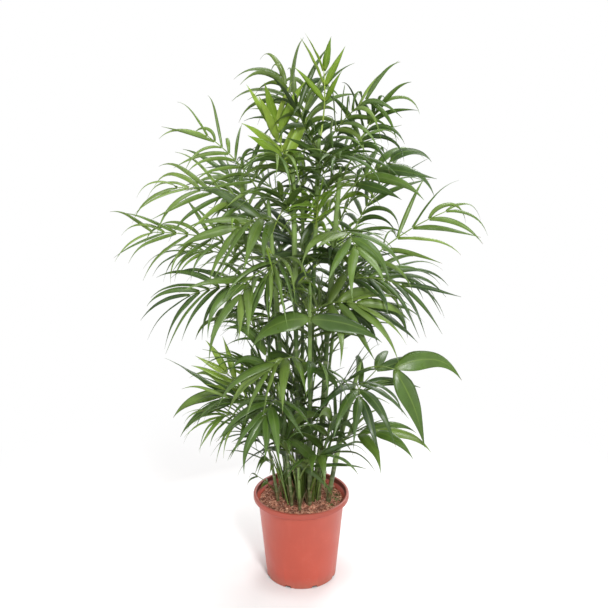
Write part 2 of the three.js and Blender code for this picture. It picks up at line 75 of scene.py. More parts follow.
FRONDS = sorted(node for node in frame["nodes"] if node.startswith("frond_"))

# ---- Sizes ----
POT_SIDES = 160
POT_WALL = 1.6 * MM
POT_LIP_WIDTH = 6.5 * MM
POT_LIP_HEIGHT = 11 * MM
POT_SHOULDER = 7 * MM
POT_FOOT_RADIUS = 77 * MM
POT_SHOULDER_RADIUS = 94 * MM
POT_CHANNEL = (38 * MM, 63 * MM)  # inner and outer edge of the hollow ring under the base
POT_CHANNEL_HEIGHT = 5 * MM
POT_NOTCHES = 8
NOTCH_SIZE = Vector((16, 13, 10)) * MM  # the cutter's, half of it below the ground
DRAIN_HOLE_PLACE = (50.5 * MM, 0, 5.8 * MM)
DRAIN_HOLE_RADIUS = 4.5 * MM
HOLE_SIDES = 24
SHARP_CORNER = 32  # degrees from which the pot's corners are shaded as sharp

STALK_SIDES = 8
STALK_STEP = 7 * MM
STALK_FLARE = 1.5  # how much thicker a stalk is where it clasps the cane
STALK_FLARE_LENGTH = 16 * MM

CANE_SIDES = 20
CANE_STEP = 2.5 * MM
CANE_BURIED = 14 * MM  # how far a cane goes on below the surface of the mix

BLADE_THICKNESS = 0.34 * MM
BLADE_WIDEST = 0.3  # where along its length a leaflet is widest
BROAD = 9 * MM  # half width from which a leaflet counts as a broad one
RING_PLACES = (0.0, 0.34, 0.7, 1.0)  # where the solid leaflets have their cross-sections

SOIL_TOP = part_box("potting_mix")[1][2]
SOIL_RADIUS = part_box("potting_mix")[1][0]

# ---- Small helpers ----


def lerp(a, b, t):
    return a + (b - a) * t


def clamp(x, low=0.0, high=1.0):
    return max(low, min(high, x))


def ease(t):
    t = clamp(t)
    return t * t * (3 - 2 * t)


def shells(bm):
    """The faces of each closed shell in turn."""
    seen = set()
    for start in bm.faces:
        if start in seen:
            continue
        seen.add(start)
        shell, front = [], [start]
        while front:
            face = front.pop()
            shell.append(face)
            for edge in face.edges:
                for other in edge.link_faces:
                    if other not in seen:
                        seen.add(other)
                        front.append(other)
        yield shell


def volume(shell):
    """Six times a shell's volume, below zero where its faces point inwards."""
    origin, total = shell[0].verts[0].co.copy(), 0.0
    for face in shell:
        first, *others = [v.co - origin for v in face.verts]
        total += sum(first.dot(b.cross(c)) for b, c in zip(others, others[1:]))
    return total


def face_outwards(bm):
    bmesh.ops.recalc_face_normals(bm, faces=bm.faces)
    inward = [face for shell in shells(bm) if volume(shell) < 0 for face in shell]
    bmesh.ops.reverse_faces(bm, faces=inward)


def new_object(name, data):
    thing = bpy.data.objects.new(name, data)
    bpy.context.collection.objects.link(thing)
    return thing


def from_bmesh(name, bm):
    mesh = bpy.data.meshes.new(name)
    bm.to_mesh(mesh)
    bm.free()
    return new_object(name, mesh)


def set_smooth(piece, smooth):
    faces = piece.data.polygons
    faces.foreach_set("use_smooth", [smooth] * len(faces))


def finish_piece(name, bm, material, slot, nodes=()):
    """Turns a bmesh into a piece that rides with the plant and stands for some solids."""
    face_outwards(bm)
    piece = from_bmesh(name, bm)
    piece.data.materials.append(material)
    set_smooth(piece, True)
    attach(piece, "root")
    if nodes:
        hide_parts(*nodes)
    return piece


def welded(node):
    """A copy of a solid's mesh with its corners joined."""
    bm = bmesh.new()
    bm.from_mesh(frame["nodes"][node].data)
    bmesh.ops.remove_doubles(bm, verts=bm.verts, dist=0.02 * MM)
    bm.verts.index_update()
    return bm


def in_order(verts):
    """A set of vertices as a list that comes out the same each time."""
    return sorted(verts, key=lambda v: v.index)


def middle(verts):
    return sum((v.co for v in in_order(verts)), Vector()) / len(verts)


# ---- Reading the solids ----


def read_cane(node):
    """The centres and radii of a cane's rings, from the bottom up."""
    bm = welded(node)
    rings = {}
    for v in bm.verts:
        rings.setdefault(round(v.co.z, 5), []).append(v)
    cane = []
    for z in sorted(rings):
        centre = middle(rings[z])
        cane.append((centre, (rings[z][0].co - centre).length))
    bm.free()
    return cane


def neighbours(verts, seen):
    found = {e.other_vert(v) for v in verts for e in v.link_edges}
    return found - seen


def read_ring(ring):
    """The centre, half width, sideways and upward directions of a leaflet's three-cornered ring."""
    ring = in_order(ring)
    ridge = min(ring, key=lambda v: (v.co - middle([w for w in ring if w != v])).length)
    left, right = (v.co for v in ring if v != ridge)
    centre = (left + right) / 2
    return {
        "centre": centre,
        "half": (left - right).length / 2,
        "across": (left - right).normalized(),
        "up": (ridge.co - centre).normalized(),
    }


def read_frond(node):
    """A frond's stalk, from the cane outwards, and its leaflets."""
    bm = welded(node)
    leaflets, used = [], set()
    for tip in [v for v in bm.verts if len(v.link_edges) == 3]:
        seen = {tip}
        high = neighbours([tip], seen)
        seen |= high
        low = neighbours(high, seen)
        seen |= low
        root = neighbours(low, seen)
        if (len(high), len(low), len(root)) != (3, 3, 4):
            continue
        seen |= root
        used |= seen
        low_ring, high_ring = read_ring(low), read_ring(high)
        if low_ring["across"].dot(high_ring["across"]) < 0:
            high_ring["across"].negate()
        leaflets.append({
            "root": root,
            "points": [middle(root), low_ring["centre"], high_ring["centre"], tip.co.copy()],
            "half": low_ring["half"],
            "low": low_ring,
            "high": high_ring,
        })
    # The bare stalk's rings, from the lowest pair of leaflets back to the cane.
    path, roots = [], {v for leaflet in leaflets for v in leaflet["root"]}
    ring = neighbours(roots, used)
    while ring:
        used |= ring
        centre = middle(ring)
        path.insert(0, (centre, min((v.co - centre).length for v in ring) * 0.8))
        ring = neighbours(ring, used)
    # Then up the stalk, from one pair to the nearest that is left.
    left = list(leaflets)
    while left:
        here = path[-1][0]
        first = min(left, key=lambda leaflet: (leaflet["points"][0] - here).length)
        left.remove(first)
        pair = [first]
        if left:
            other = min(left, key=lambda o: (o["points"][0] - first["points"][0]).length)
            left.remove(other)
            pair.append(other)
        centre = sum((leaflet["points"][0] for leaflet in pair), Vector()) / len(pair)
        radius = max(0.7 * MM, (pair[0]["points"][0] - pair[-1]["points"][0]).length / 2)
        path.append((centre, radius))
        for leaflet in pair:
            leaflet["pair"] = len(path) - 1
    for leaflet in leaflets:
        corners = [v.co.copy() for v in leaflet["root"]]
        along = path[leaflet["pair"]][0] - path[leaflet["pair"] - 1][0]
        along.normalize()
        reach = [(c - leaflet["points"][0]).dot(along) for c in corners]
        leaflet["along"] = along
        leaflet["root_half"] = (max(reach) - min(reach)) / 2
    bm.free()
    return {"path": path, "leaflets": leaflets}


# ---- Drawing along lines ----


def through(points, t):
    """A smooth line through four points at RING_PLACES."""
    out = Vector()
    for i, point in enumerate(points):
        weight = 1.0
        for j, place in enumerate(RING_PLACES):
            if j != i:
                weight *= (t - place) / (RING_PLACES[i] - place)
        out += point * weight
    return out


def smooth_line(knots, step):
    """Points and radii at even steps along a curve through knots of (point, radius)."""
    points = [p for p, _ in knots]
    points = [2 * points[0] - points[1]] + points + [2 * points[-1] - points[-2]]
    line = []
    for i in range(1, len(points) - 2):
        a, b, c, d = points[i - 1:i + 3]
        count = max(1, round((c - b).length / step))
        for k in range(count):
            t = k / count
            place = 0.5 * (
                2 * b + (c - a) * t + (2 * a - 5 * b + 4 * c - d) * t * t
                + (3 * b - a - 3 * c + d) * t * t * t
            )
            line.append((place, lerp(knots[i - 1][1], knots[i][1], t)))
    line.append(knots[-1])
    return line


def sweep(bm, line, sides, mark=None):
    """Extrudes a ring along a line of (point, radius); mark(vertices, step) dresses each ring."""
    tangents = []
    for i in range(len(line)):
        before, after = line[max(0, i - 1)][0], line[min(len(line) - 1, i + 1)][0]
        tangents.append((after - before).normalized())
    side = tangents[0].orthogonal().normalized()
    frames = []
    for (place, radius), tangent in zip(line, tangents):
        side = (side - tangent * side.dot(tangent)).normalized()
        other = tangent.cross(side)
        columns = (side * radius, other * radius, tangent * radius, place)
        matrix = Matrix.Identity(4)
        for i, column in enumerate(columns):
            for j in range(3):
                matrix[j][i] = column[j]
        frames.append(matrix)
    made = bmesh.ops.create_circle(
        bm, cap_ends=True, segments=sides, radius=1, matrix=frames[0]
    )
    face = made["verts"][0].link_faces[0]
    if mark:
        mark(face.verts, 0)
    for i in range(1, len(frames)):
        last = face
        made = bmesh.ops.extrude_face_region(bm, geom=[last])
        face = next(g for g in made["geom"] if isinstance(g, bmesh.types.BMFace))
        # The first ring's face stays, and closes the start.
        if i > 1:
            bmesh.ops.delete(bm, geom=[last], context="FACES_ONLY")
        move = frames[i] @ frames[i - 1].inverted()
        bmesh.ops.transform(bm, matrix=move, verts=face.verts)
        if mark:
            mark(face.verts, i)


# ---- Materials ----
# The values that leaf and cane materials read from each vertex.
LEAF_VALUES = ("across", "along", "veins", "tint", "dry", "stalk")
CANE_VALUES = ("height", "scar", "sheath")


class Nodes:
    """A material's or a group's node tree, with a short way to add and link nodes."""

    def __init__(self, tree):
        self.tree = tree
        tree.nodes.clear()

    def add(self, kind, inputs=None, **settings):
        node = self.tree.nodes.new("ShaderNode" + kind)
        for key, value in settings.items():
            setattr(node, key, value)
        for key, value in (inputs or {}).items():
            if isinstance(value, bpy.types.NodeSocket):
                self.tree.links.new(value, node.inputs[key])
            else:
                node.inputs[key].default_value = value
        return node

    def math(self, operation, a, b=0.0):
        return self.add("Math", {0: a, 1: b}, operation=operation).outputs[0]

    def times(self, a, b):
        return self.math("MULTIPLY", a, b)

    def plus(self, a, b):
        return self.math("ADD", a, b)

    def scaled(self, colour, gain):
        node = self.add("VectorMath", {0: colour, "Scale": gain}, operation="SCALE")
        return node.outputs[0]

    def mix(self, factor, a, b):
        node = self.add("Mix", {0: factor, 6: a, 7: b}, data_type="RGBA", clamp_factor=True)
        return node.outputs[2]

    def remap(self, value, low, high, to_low=0.0, to_high=1.0):
        node = self.add(
            "MapRange",
            {0: value, 1: low, 2: high, 3: to_low, 4: to_high},
            interpolation_type="SMOOTHSTEP",
        )
        return node.outputs[0]

    def attribute(self, name):
        return self.add("Attribute", attribute_name=name).outputs["Fac"]

    def place(self):
        return self.add("TexCoord").outputs["Object"]

    def off_axis(self):
        """How far a point is from the upright line through the middle of the pot."""
        plan = self.add("VectorMath", {0: self.place(), 1: (1, 1, 0)}, operation="MULTIPLY")
        length = self.add("VectorMath", {0: plan.outputs[0]}, operation="LENGTH")
        return length.outputs["Value"]

    def noise(self, scale, detail=3.0, roughness=0.55, stretch=None):
        at = self.place()
        if stretch:
            at = self.add("Mapping", {0: at, 3: stretch}).outputs[0]
        node = self.add(
            "TexNoise", {"Vector": at, "Scale": scale, "Detail": detail, "Roughness": roughness}
        )
        return node.outputs["Fac"]

    def ramp(self, value, stops):
        node = self.add("ValToRGB", {0: value})
        elements = node.color_ramp.elements
        while len(elements) < len(stops):
            elements.new(0.5)
        for element, (at, colour) in zip(elements, stops):
            element.position = at
            element.color = colour
        return node.outputs[0]

    def bump(self, height, distance, strength):
        inputs = {"Height": height, "Distance": distance, "Strength": strength}
        return self.add("Bump", inputs).outputs[0]

    def group(self, tree, inputs):
        return self.add("Group", inputs, node_tree=tree).outputs

    def blotched(self, colour, scale, amount):
        given = {"Colour": colour, "Scale": scale, "Amount": amount}
        return self.group(BLOTCHES, given)["Colour"]

    def speckled(self, scale, amount):
        return self.group(SPECKLES, {"Scale": scale, "Amount": amount})["Mask"]

    def output(self, shader):
        self.add("OutputMaterial", {0: shader})

    def surface(self, settings):
        self.output(self.add("BsdfPrincipled", settings).outputs[0])


def new_material(name):
    material = bpy.data.materials.new(name)
    material.use_nodes = True
    return material, Nodes(material.node_tree)


def new_group(name, inputs, outputs):
    tree = bpy.data.node_groups.new(name, "ShaderNodeTree")
    nodes = Nodes(tree)
    for label, kind, value in inputs:
        socket = tree.interface.new_socket(label, in_out="INPUT", socket_type="NodeSocket" + kind)
        socket.default_value = value
    for label, kind in outputs:
        tree.interface.new_socket(label, in_out="OUTPUT", socket_type="NodeSocket" + kind)
    start = tree.nodes.new("NodeGroupInput")
    end = tree.nodes.new("NodeGroupOutput")
    return tree, nodes, start.outputs, end.inputs


def make_blotches():
    """Slow uneven darkening and lightening of a colour, as on anything grown or handled."""
    tree, nodes, given, result = new_group(
        "blotches",
        [("Colour", "Color", (0.5, 0.5, 0.5, 1)), ("Scale", "Float", 20.0),
         ("Amount", "Float", 0.2)],
        [("Colour", "Color")],
    )
    swing = nodes.remap(nodes.noise(given["Scale"], 4.0), 0.3, 0.7, -1.0, 1.0)
    gain = nodes.plus(nodes.times(swing, given["Amount"]), 1.0)
    tree.links.new(nodes.scaled(given["Colour"], gain), result["Colour"])
    return tree


def make_speckles():
    """Small scattered specks, such as dust, crumbs and lenticels, as a mask."""
    tree, nodes, given, result = new_group(
        "speckles",
        [("Scale", "Float", 300.0), ("Amount", "Float", 0.3)],
        [("Mask", "Float")],
    )
    spots = nodes.add("TexVoronoi", {"Vector": nodes.place(), "Scale": given["Scale"]})
    patch = nodes.noise(18.0, 3.0)
    size = nodes.times(nodes.remap(patch, 0.42, 0.7), given["Amount"])
    speck = nodes.math("LESS_THAN", spots.outputs["Distance"], size)
    tree.links.new(speck, result["Mask"])
    return tree


BLOTCHES = make_blotches()
SPECKLES = make_speckles()


def make_leaf_material(name, deep, mid, light, glow, brown, painted_inner_shade):
    """A waxy palm leaflet: parallel veins, a pale midrib, uneven green, dry tips and painted shade
    towards the middle of the clump.
    """
    material, nodes = new_material(name)
    across, along, veins, tint, dry, stalk = map(nodes.attribute, LEAF_VALUES)

    body = nodes.ramp(tint, [(0.0, deep), (0.5, mid), (1.0, light)])
    body = nodes.blotched(body, 26.0, 0.16)
    # The ribs between the parallel veins, finer and fainter than the midrib.
    wave = nodes.math("SINE", nodes.times(veins, 2 * math.pi))
    ribs = nodes.math("POWER", nodes.math("ABSOLUTE", wave), 0.6)
    body = nodes.mix(nodes.remap(ribs, 0.55, 0.0, 0.0, 0.35), body, light)
    midrib = nodes.remap(nodes.math("ABSOLUTE", across), 0.1, 0.02)
    body = nodes.mix(nodes.times(midrib, 0.55), body, light)
    # Paler towards the base, and browned at the very tip.
    body = nodes.mix(nodes.remap(along, 0.22, 0.0, 0.0, 0.35), body, light)
    wander = nodes.times(nodes.math("SUBTRACT", nodes.noise(160.0), 0.5), 0.05)
    edge = nodes.plus(along, wander)
    dried = nodes.math("GREATER_THAN", edge, nodes.math("SUBTRACT", 1.0, dry))
    body = nodes.mix(nodes.times(dried, 0.85), body, brown)
    rod = nodes.blotched(light, 60.0, 0.2)
    colour = nodes.mix(stalk, body, rod)
    # Painted shade: leaves near the upright axis of the clump are darkened, standing for the shade
    # that the leaves round them cast.
    inner = nodes.remap(nodes.off_axis(), 20 * MM, 190 * MM, painted_inner_shade, 1.0)
    colour = nodes.scaled(colour, inner)

    height = nodes.plus(nodes.times(ribs, 0.7), nodes.noise(900.0, 2.0))
    height = nodes.math("SUBTRACT", height, nodes.times(midrib, 1.2))
    normal = nodes.bump(height, 0.12 * MM, 0.55)
    roughness = nodes.remap(nodes.noise(70.0), 0.3, 0.7, 0.27, 0.43)
    surface = nodes.add("BsdfPrincipled", {
        "Base Color": colour, "Roughness": roughness, "Normal": normal, "IOR": 1.45,
        "Specular IOR Level": 0.65,
    })
    through_light = nodes.mix(0.55, colour, glow)
    thin = nodes.add("BsdfTranslucent", {"Color": through_light, "Normal": normal})
    solid = nodes.add("MixShader", {0: 0.26, 1: surface.outputs[0], 2: thin.outputs[0]})
    nodes.output(solid.outputs[0])
    return material


# The last number of each is how dark the painted shade makes leaves at the middle of the clump.
LEAF = make_leaf_material(
    "mature_leaf", (0.032, 0.072, 0.017, 1), (0.092, 0.172, 0.026, 1),
    (0.225, 0.335, 0.062, 1), (0.36, 0.54, 0.05, 1), (0.26, 0.17, 0.08, 1), 0.56,
)
DRY_SHEATH = make_leaf_material(
    "dry_sheath", (0.16, 0.12, 0.05, 1), (0.30, 0.24, 0.11, 1),
    (0.48, 0.40, 0.22, 1), (0.45, 0.34, 0.14, 1), (0.26, 0.17, 0.08, 1), 0.9,
)
YOUNG_LEAF = make_leaf_material(
    "young_leaf", (0.130, 0.250, 0.020, 1), (0.235, 0.390, 0.034, 1),
    (0.430, 0.570, 0.100, 1), (0.60, 0.75, 0.08, 1), (0.28, 0.18, 0.06, 1), 0.9,
)


def make_cane_material():
    """A green cane with pale leaf scars, browner at the foot, in dull sheaths near the head."""
    material, nodes = new_material("green_cane")
    height, scar, sheath = map(nodes.attribute, CANE_VALUES)
    green = nodes.ramp(height, [
        (0.0, (0.105, 0.120, 0.042, 1)), (0.16, (0.095, 0.130, 0.042, 1)),
        (0.6, (0.090, 0.160, 0.036, 1)), (1.0, (0.140, 0.250, 0.055, 1)),
    ])
    streaks = nodes.noise(120.0, 3.0, stretch=(1, 1, 0.06))
    green = nodes.mix(nodes.remap(streaks, 0.45, 0.75, 0.0, 0.4), green, (0.16, 0.22, 0.07, 1))
    wrap = nodes.mix(nodes.noise(200.0, 3.0, stretch=(1, 1, 0.04)),
                     (0.130, 0.230, 0.040, 1), (0.30, 0.40, 0.13, 1))
    green = nodes.mix(nodes.times(sheath, 0.75), green, wrap)
    green = nodes.mix(nodes.times(scar, 0.8), green, (0.30, 0.29, 0.17, 1))
    green = nodes.blotched(green, 45.0, 0.25)
    specks = nodes.speckled(700.0, 0.3)
    green = nodes.mix(nodes.times(specks, 0.5), green, (0.05, 0.05, 0.03, 1))
    rise = nodes.plus(streaks, nodes.times(scar, 0.8))
    nodes.surface({
        "Base Color": green,
        "Roughness": nodes.remap(streaks, 0.3, 0.8, 0.38, 0.6),
        "Normal": nodes.bump(rise, 0.15 * MM, 0.5),
    })
    return material


def make_pot_material():
    """Moulded terracotta-coloured plastic: satin, finely scuffed, dusty at the lip and foot."""
    material, nodes = new_material("terracotta_plastic")
    colour = nodes.blotched((0.480, 0.074, 0.042, 1), 9.0, 0.07)
    flow = nodes.noise(55.0, 4.0, stretch=(1, 1, 0.25))
    colour = nodes.mix(nodes.remap(flow, 0.5, 0.8, 0.0, 0.12), colour, (0.62, 0.18, 0.12, 1))
    up = nodes.add("SeparateXYZ", {0: nodes.place()}).outputs[2]
    low = nodes.remap(up, 30 * MM, 0.0, 0.0, 0.55)
    high = nodes.remap(up, 190 * MM, 200 * MM, 0.0, 0.3)
    dusty = nodes.times(nodes.math("MAXIMUM", low, high), nodes.noise(90.0, 5.0))
    colour = nodes.mix(dusty, colour, (0.36, 0.21, 0.15, 1))
    # Painted shade: the lip is darkened, and the wall inside it is darker still, which stands for
    # painted shade and for some stain from the mix.
    lip = nodes.remap(up, 187.5 * MM, 189.5 * MM, 0.0, 0.4)
    colour = nodes.mix(lip, colour, (0.26, 0.045, 0.032, 1))
    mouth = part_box("pot")[1][0] - POT_LIP_WIDTH
    inside = nodes.remap(nodes.off_axis(), mouth + 0.7 * MM, mouth + 0.2 * MM)
    # Painted shade inside the mouth of the pot, with some stain from the mix.
    mouth_shade_and_stain = nodes.times(inside, lip)
    colour = nodes.mix(nodes.times(mouth_shade_and_stain, 1.7), colour, (0.07, 0.03, 0.022, 1))
    specks = nodes.speckled(420.0, 0.16)
    colour = nodes.mix(nodes.times(specks, 0.6), colour, (0.62, 0.42, 0.34, 1))
    scratch = nodes.noise(420.0, 4.0, stretch=(1, 1, 0.02))
    scuff = nodes.times(nodes.remap(scratch, 0.62, 0.72), 0.14)
    rough = nodes.plus(nodes.remap(flow, 0.3, 0.7, 0.33, 0.43), scuff)
    rough = nodes.plus(rough, nodes.times(dusty, 0.35))
    grain = nodes.plus(nodes.noise(1500.0, 2.0), nodes.times(flow, 0.8))
    nodes.surface({
        "Base Color": colour, "Roughness": rough, "IOR": 1.5,
        "Normal": nodes.bump(grain, 0.06 * MM, 0.35),
    })
    return material


def make_mix_material(name, dark, mid, light, moss):
    """Coarse coir and peat: reddish brown crumbs and fibres, greened here and there."""
    material, nodes = new_material(name)
    crumbs = nodes.add("TexVoronoi", {"Vector": nodes.place(), "Scale": 330.0})
    shade = nodes.add("SeparateColor", {0: crumbs.outputs["Color"]}).outputs[0]
    colour = nodes.ramp(shade, [(0.0, dark), (0.55, mid), (1.0, light)])
    colour = nodes.blotched(colour, 60.0, 0.35)
    green = nodes.remap(nodes.noise(34.0, 4.0), 0.6, 0.72, 0.0, moss)
    colour = nodes.mix(green, colour, (0.07, 0.10, 0.025, 1))
    rise = nodes.plus(nodes.noise(500.0, 5.0, 0.7), crumbs.outputs["Distance"])
    nodes.surface({
        "Base Color": colour, "Roughness": nodes.remap(shade, 0.0, 1.0, 0.95, 0.78),
        "Normal": nodes.bump(rise, 1.2 * MM, 0.8), "Specular IOR Level": 0.25,
    })
    return material


CANE = make_cane_material()
PLASTIC = make_pot_material()
PEAT = make_mix_material(
    "peat", (0.10, 0.038, 0.024, 1), (0.34, 0.130, 0.082, 1), (0.62, 0.32, 0.21, 1), 0.2
)
COIR = make_mix_material(
    "coir", (0.22, 0.08, 0.05, 1), (0.52, 0.23, 0.15, 1), (0.80, 0.52, 0.37, 1), 0.15
)
MOSS = make_mix_material(
    "moss", (0.050, 0.062, 0.018, 1), (0.115, 0.145, 0.040, 1), (0.27, 0.30, 0.11, 1), 0.1
)

# ---- Fronds ----


def half_width(t, base, widest):
    """Half of a leaflet's width along its length: a narrow foot, a long drawn-out tip."""
    if t < BLADE_WIDEST:
        return lerp(base, widest, math.sin(math.pi / 2 * t / BLADE_WIDEST))
    s = (t - BLADE_WIDEST) / (1 - BLADE_WIDEST)
    return max(0.12 * MM, widest * (1 - s ** 1.7) ** 1.3)


def add_leaflet(bm, layers, leaflet, look, chance):
    """One blade: a grid bent along the leaflet's line, folded at its midrib."""
    points, low, high = leaflet["points"], leaflet["low"], leaflet["high"]
    length = sum((b - a).length for a, b in zip(points, points[1:]))
    broad = leaflet["half"] > BROAD
    widest = leaflet["half"] * (1.0 if broad else chance.uniform(0.74, 0.96))
    widest *= look.get("fuller", 1.0)
    made = bmesh.ops.create_grid(
        bm, x_segments=6 if broad else 4, y_segments=16 if broad else 12, size=0.5
    )
    verts = made["verts"]
    foot = min(leaflet["root_half"] * 0.8, widest * 0.6)
    root_across = leaflet["along"] * (1 if leaflet["along"].dot(low["across"]) > 0 else -1)
    fold = lerp(0.42, 0.16, clamp(widest / (20 * MM)))
    ripple, phase = chance.uniform(0.02, 0.08), chance.uniform(0, 6.28)
    twist = math.radians(chance.uniform(-40, 40))
    curl = (0.01 + 0.2 * chance.random() ** 2) * length * look["curl"]
    hook = chance.uniform(-0.09, 0.09) * length * look["curl"]
    tint = clamp(chance.gauss(look["tint"], 0.17))
    dry = chance.choice((0.0, 0.0, 0.012, 0.02, 0.035)) if look["dries"] else 0.0
    pleats = max(1, round(widest / (4 * MM)))
    for v in verts:
        u, t = v.co.x * 2, v.co.y + 0.5
        centre = through(points, t)
        tangent = (through(points, t + 0.01) - through(points, t - 0.01)).normalized()
        share = clamp((t - RING_PLACES[1]) / (RING_PLACES[2] - RING_PLACES[1]), -0.6, 1.6)
        up = low["up"].lerp(high["up"], share)
        across = low["across"].lerp(high["across"], share)
        across = root_across.lerp(across, ease(t / 0.16))
        across = (across - tangent * across.dot(tangent)).normalized()
        up = (up - tangent * up.dot(tangent) - across * up.dot(across)).normalized()
        turn = Matrix.Rotation(twist * t * t, 3, tangent)
        across, up = turn @ across, turn @ up
        half = half_width(t, foot, widest)
        rise = half * fold * (0.35 - abs(u) ** 1.25)
        rise += half * ripple * abs(u) * math.sin(2 * math.pi * 3.2 * t + phase + (u > 0))
        rise += 0.18 * MM * math.cos(pleats * 2 * math.pi * u) * ease(half / (5 * MM))
        late = max(0.0, (t - 0.55) / 0.45) ** 2.2
        v.co = centre + across * (u * half + hook * late) + up * rise - UP * (curl * late)
        v[layers["across"]], v[layers["along"]] = u, t
        v[layers["veins"]] = u * pleats
        v[layers["tint"]], v[layers["dry"]] = tint, dry
    faces = list(dict.fromkeys(f for v in verts for f in v.link_faces))
    bmesh.ops.solidify(bm, geom=faces, thickness=BLADE_THICKNESS)


def new_layered(names):
    """An empty mesh with a layer for each of the values that its material reads."""
    bm = bmesh.new()
    return bm, {name: bm.verts.layers.float.new(name) for name in names}


def add_stalk(bm, layers, path):
    """The frond's own stalk, clasping its cane and running out past its last leaflets."""
    start, second = path[0][0], path[1][0]
    end = path[-1][0] + (path[-1][0] - path[-2][0]).normalized() * 3 * MM
    knots = [(start - (second - start).normalized() * 2.2 * MM, path[1][1])]
    knots += path[1:] + [(end, 0.35 * MM)]
    line, run = [], 0.0
    for place, radius in smooth_line(knots, STALK_STEP):
        if line:
            run += (place - line[-1][0]).length
        flare = lerp(STALK_FLARE, 1.0, ease(run / STALK_FLARE_LENGTH))
        line.append((place, radius * flare))

    def mark(verts, step):
        for v in verts:
            v[layers["stalk"]] = 1.0
            v[layers["along"]] = 0.5

    sweep(bm, line, STALK_SIDES, mark)


def add_grown(bm, layers, frond, look, chance):
    for leaflet in frond["leaflets"]:
        add_leaflet(bm, layers, leaflet, look, chance)
    add_stalk(bm, layers, frond["path"])


def add_frond(node):
    frond = read_frond(node)
    chance = random.Random(node)
    young = SLOTS[node] == "young_leaf"
    look = {"tint": chance.uniform(0.1, 0.9), "dries": not young, "curl": 1.0}
    if young:
        look.update(tint=chance.uniform(0.4, 0.8), curl=0.3, fuller=1.6)
    bm, layers = new_layered(LEAF_VALUES)
    add_grown(bm, layers, frond, look, chance)
    finish_piece(node + "_leaf", bm, YOUNG_LEAF if young else LEAF, SLOTS[node], [node])


for node in FRONDS:
    add_frond(node)

# ---- Filling the clump ----
# The solids stand for the fronds that give the plant its outline. Between them the clump is
# thick with shorter ones, which are laid here so that they give way to what is there already.
INNER_KINDS = {
    "feather": dict(pairs=8, bare=0.24, length=112, width=8, sweep=(56, 20), lift=14, droop=0.4),
    "narrow": dict(pairs=6, bare=0.32, length=135, width=11, sweep=(46, 16), lift=14, droop=0.45),
    "wide": dict(pairs=4, bare=0.4, length=150, width=17, sweep=(42, 14), lift=12, droop=0.5),
    "broad": dict(pairs=3, bare=0.4, length=165, width=25, sweep=(38, 14), lift=8, droop=0.8),
    "tuft": dict(pairs=3, bare=0.5, length=135, width=11, sweep=(30, 9), lift=5, droop=0.3),
    "seedling": dict(pairs=2, bare=0.6, length=42, width=9, sweep=(60, 30), lift=8, droop=0.9),
}
INNER_STALK = (1.7 * MM, 0.75 * MM)  # a short frond's stalk, from the cane to its end
TURNS = (0, 12, -12, 24, -24, 40, -40)  # tried headings for a stalk, in degrees
STEEPEST = 66
STALK_CLEARANCE = 3 * MM
LEAFLET_CLEARANCE = 3.5 * MM


def way(heading, rise):
    """A direction from a heading in plan and an angle over the horizon, in degrees."""
    heading, rise = math.radians(heading), math.radians(rise)
    return Vector((
        math.cos(heading) * math.cos(rise), math.sin(heading) * math.cos(rise), math.sin(rise)
    ))


def bend(start, first, last, length, t):
    """A place on the curve that leaves start along first and arrives along last."""
    middle_point = start + first * length / 2
    end = middle_point + last * length / 2
    return start.lerp(middle_point, t).lerp(middle_point.lerp(end, t), t)


class Crowd:
    """Where stalks and leaflets already are."""

    cell = 6 * MM

    def __init__(self, nodes):
        bm = bmesh.new()
        for node in nodes:
            bm.from_mesh(frame["nodes"][node].data)
        self.solids = BVHTree.FromBMesh(bm)
        bm.free()
        self.cells = {}

    def key(self, point):
        return tuple(math.floor(c / self.cell) for c in point)

    def add(self, points):
        for point in points:
            self.cells.setdefault(self.key(point), []).append(point)

    def is_clear(self, points, clearance):
        for point in points:
            if self.solids.find_nearest(point, clearance)[0]:
                return False
            i, j, k = self.key(point)
            for di in (-1, 0, 1):
                for dj in (-1, 0, 1):
                    for dk in (-1, 0, 1):
                        for other in self.cells.get((i + di, j + dj, k + dk), ()):
                            if (other - point).length < clearance:
                                return False
        return True

    def take(self, leaflet, clearance):
        """Keeps a leaflet's place for it, where that place is clear."""
        clear = self.is_clear(leaflet_samples(leaflet, 8), clearance)
        if clear:
            self.add(leaflet_samples(leaflet, 20))
        return clear


def leaflet_samples(leaflet, along_steps):
    points, low = leaflet["points"], leaflet["low"]
    samples = []
    for i in range(along_steps + 1):
        t = lerp(0.2, 1.0, i / along_steps)
        half = half_width(t, 0, leaflet["half"])
        for u in (-1, 0, 1):
            samples.append(through(points, t) + low["across"] * (u * half))
    return samples


def shape_leaflet(root, axes, side, angles, length, width):
    """A leaflet that springs from a stalk; axes are the stalk's along, right and face."""
    along, right, face = axes
    sweep_angle, lift, droop, roll = angles
    first = along * math.cos(math.radians(sweep_angle))
    first += right * side * math.sin(math.radians(sweep_angle))
    first += face * math.sin(math.radians(lift))
    first.normalize()
    last = (first - UP * 2 * droop).normalized()
    up = (face - first * face.dot(first)).normalized()
    up.rotate(Matrix.Rotation(math.radians(roll * side), 3, first))
    rings = []
    for t in RING_PLACES[1:3]:
        ahead = bend(root, first, last, length, t + 0.02)
        tangent = (ahead - bend(root, first, last, length, t - 0.02)).normalized()
        ring_up = first.rotation_difference(tangent) @ up
        rings.append({"up": ring_up, "across": ring_up.cross(tangent)})
    return {
        "points": [bend(root, first, last, length, t) for t in RING_PLACES],
        "half": width / 2, "low": rings[0], "high": rings[1],
        "along": along, "root_half": min(3.5 * MM, width * 0.16 + 1.2 * MM),
    }


